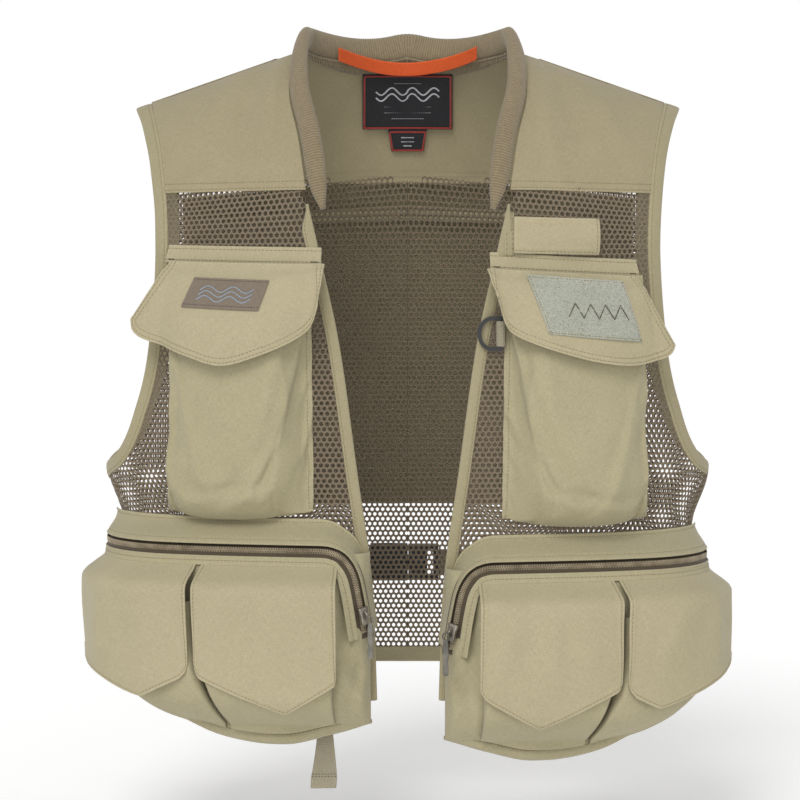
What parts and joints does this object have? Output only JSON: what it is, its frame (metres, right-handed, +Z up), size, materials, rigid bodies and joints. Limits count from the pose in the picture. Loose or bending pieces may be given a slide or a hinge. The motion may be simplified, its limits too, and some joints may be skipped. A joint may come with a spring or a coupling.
{
  "type": "fishing vest",
  "caption": "Sleeveless net-bodied fishing vest with a ribbed collar, flapped chest pockets and zipped cargo pockets at the waist.",
  "frame": {"origin": "middle of the wearer's neck at mean shoulder height, between the two shoulder ridges where the vest is carried", "axes": "+Z up, the front of the vest faces -Y, +X is the wearer's left side"},
  "size_m": [0.5265, 0.3102, 0.6007],
  "materials": {
    "tan_nylon": "matt woven nylon",
    "flap_nylon": "matt woven nylon",
    "hex_net": "open hexagonal net",
    "rib_knit": "ribbed knit",
    "orange_ribbon": "grosgrain ribbon",
    "black_label": "woven satin label",
    "brown_label": "woven label",
    "fleece": "looped fleece",
    "hook_tape": "hook tape",
    "zip_tape": "coil zip and tape",
    "slider_metal": "satin painted die casting",
    "black_plastic": "moulded acetal",
    "webbing": "woven webbing"
  },
  "bodies": {
    "vest_body": {"front_yoke_right": "tan_nylon", "front_net_right": "hex_net", "armhole_binding_right": "tan_nylon", "front_binding_right": "tan_nylon", "chest_pouch_right": "tan_nylon", "chest_loop_strip_right": "fleece", "cargo_pouch_right": "tan_nylon", "cargo_band_right": "tan_nylon", "cargo_zip_right": "zip_tape", "small_pouch_inner_right": "tan_nylon", "small_pouch_outer_right": "tan_nylon", "front_yoke_left": "tan_nylon", "front_net_left": "hex_net", "armhole_binding_left": "tan_nylon", "front_binding_left": "tan_nylon", "chest_pouch_left": "tan_nylon", "chest_loop_strip_left": "fleece", "cargo_pouch_left": "tan_nylon", "cargo_band_left": "tan_nylon", "cargo_zip_left": "zip_tape", "small_pouch_inner_left": "tan_nylon", "small_pouch_outer_left": "tan_nylon", "back_yoke": "tan_nylon", "back_net": "hex_net", "hem_tape": "tan_nylon", "rib_collar": "rib_knit", "neck_label": "black_label", "size_label": "black_label", "rod_tab_base": "fleece", "d_ring_webbing": "webbing", "back_pocket": "tan_nylon", "buckle_female": "black_plastic", "belt_sewn": "webbing", "belt_keeper": "black_plastic"},
    "chest_flap_right": {"chest_flap_right": "flap_nylon", "chest_hook_strip_right": "hook_tape", "chest_label": "brown_label"},
    "cargo_flap_inner_right": {"cargo_flap_inner_right": "flap_nylon"},
    "cargo_flap_outer_right": {"cargo_flap_outer_right": "flap_nylon"},
    "zip_slider_right": {"zip_slider_right": "slider_metal"},
    "zip_pull_right": {"zip_pull_right": "slider_metal"},
    "chest_flap_left": {"chest_flap_left": "flap_nylon", "chest_hook_strip_left": "hook_tape", "fly_patch": "fleece"},
    "cargo_flap_inner_left": {"cargo_flap_inner_left": "flap_nylon"},
    "cargo_flap_outer_left": {"cargo_flap_outer_left": "flap_nylon"},
    "zip_slider_left": {"zip_slider_left": "slider_metal"},
    "zip_pull_left": {"zip_pull_left": "slider_metal"},
    "rod_tab": {"rod_tab": "tan_nylon"},
    "d_ring": {"d_ring": "black_plastic"},
    "hang_loop": {"hang_loop": "orange_ribbon"},
    "buckle_male": {"buckle_male": "black_plastic", "belt_sliding": "webbing"},
    "buckle_prong_upper": {"buckle_prong_upper": "black_plastic"},
    "buckle_prong_lower": {"buckle_prong_lower": "black_plastic"},
    "strap_tail": {"strap_tail": "webbing"}
  },
  "joints": [
    {"name": "chest_flap_right_hinge", "type": "hinge", "parent": "vest_body", "child": "chest_flap_right", "pos_m": [-0.13406, -0.12544, -0.13595], "axis": [-0.9634, 0.2679, 0], "range_deg": [0, 140]},
    {"name": "cargo_flap_inner_right_hinge", "type": "hinge", "parent": "vest_body", "child": "cargo_flap_inner_right", "pos_m": [-0.11129, -0.13998, -0.36981], "axis": [-0.9817, 0.1904, 0], "range_deg": [0, 130]},
    {"name": "cargo_flap_outer_right_hinge", "type": "hinge", "parent": "vest_body", "child": "cargo_flap_outer_right", "pos_m": [-0.22654, -0.08576, -0.37007], "axis": [-0.5784, 0.8157, 0], "range_deg": [0, 130]},
    {"name": "zip_slider_right_slide", "type": "slide", "parent": "vest_body", "child": "zip_slider_right", "axis": [-0.1671, -0.1339, 0.9768], "range_m": [0, 0.025]},
    {"name": "zip_pull_right_swing", "type": "hinge", "parent": "zip_slider_right", "child": "zip_pull_right", "pos_m": [-0.02926, -0.15125, -0.41134], "axis": [-1, 0, 0], "range_deg": [0, 120]},
    {"name": "chest_flap_left_hinge", "type": "hinge", "parent": "vest_body", "child": "chest_flap_left", "pos_m": [0.13403, -0.1254, -0.14195], "axis": [-0.9636, -0.2672, 0], "range_deg": [0, 140]},
    {"name": "cargo_flap_inner_left_hinge", "type": "hinge", "parent": "vest_body", "child": "cargo_flap_inner_left", "pos_m": [0.11093, -0.13974, -0.38275], "axis": [-0.9817, -0.1906, 0], "range_deg": [0, 130]},
    {"name": "cargo_flap_outer_left_hinge", "type": "hinge", "parent": "vest_body", "child": "cargo_flap_outer_left", "pos_m": [0.22584, -0.0856, -0.38283], "axis": [-0.5777, -0.8162, 0], "range_deg": [0, 130]},
    {"name": "zip_slider_left_slide", "type": "slide", "parent": "vest_body", "child": "zip_slider_left", "axis": [0.1655, -0.1324, 0.9773], "range_m": [0, 0.025]},
    {"name": "zip_pull_left_swing", "type": "hinge", "parent": "zip_slider_left", "child": "zip_pull_left", "pos_m": [0.0292, -0.15104, -0.42429], "axis": [-1, 0, 0], "range_deg": [0, 120]},
    {"name": "rod_tab_hinge", "type": "hinge", "parent": "vest_body", "child": "rod_tab", "pos_m": [0.0824, -0.11687, -0.1168], "axis": [0, 0, -1], "range_deg": [0, 150]},
    {"name": "d_ring_swivel", "type": "hinge", "parent": "vest_body", "child": "d_ring", "pos_m": [0.07205, -0.11961, -0.1931], "axis": [0, 0, 1], "range_deg": [0, 75]},
    {"name": "hang_loop_swing", "type": "hinge", "parent": "vest_body", "child": "hang_loop", "pos_m": [0, 0.04019, 0.032], "axis": [-1, 0, 0], "range_deg": [0, 110]},
    {"name": "buckle_release", "type": "slide", "parent": "vest_body", "child": "buckle_male", "axis": [1, 0, 0], "range_m": [0, 0.03]},
    {"name": "buckle_prong_upper_press", "type": "hinge", "parent": "buckle_male", "child": "buckle_prong_upper", "pos_m": [0.0003, 0.11269, -0.3908], "axis": [0, -1, 0], "range_deg": [0, 6], "stiffness_Nm_per_rad": 0.05},
    {"name": "buckle_prong_lower_press", "type": "hinge", "parent": "buckle_male", "child": "buckle_prong_lower", "pos_m": [0.0003, 0.11269, -0.4072], "axis": [0, 1, 0], "range_deg": [0, 6], "stiffness_Nm_per_rad": 0.05},
    {"name": "strap_tail_swing", "type": "hinge", "parent": "vest_body", "child": "strap_tail", "pos_m": [-0.06583, -0.10693, -0.48299], "axis": [1, 0, 0], "range_deg": [0, 30]}
  ]
}
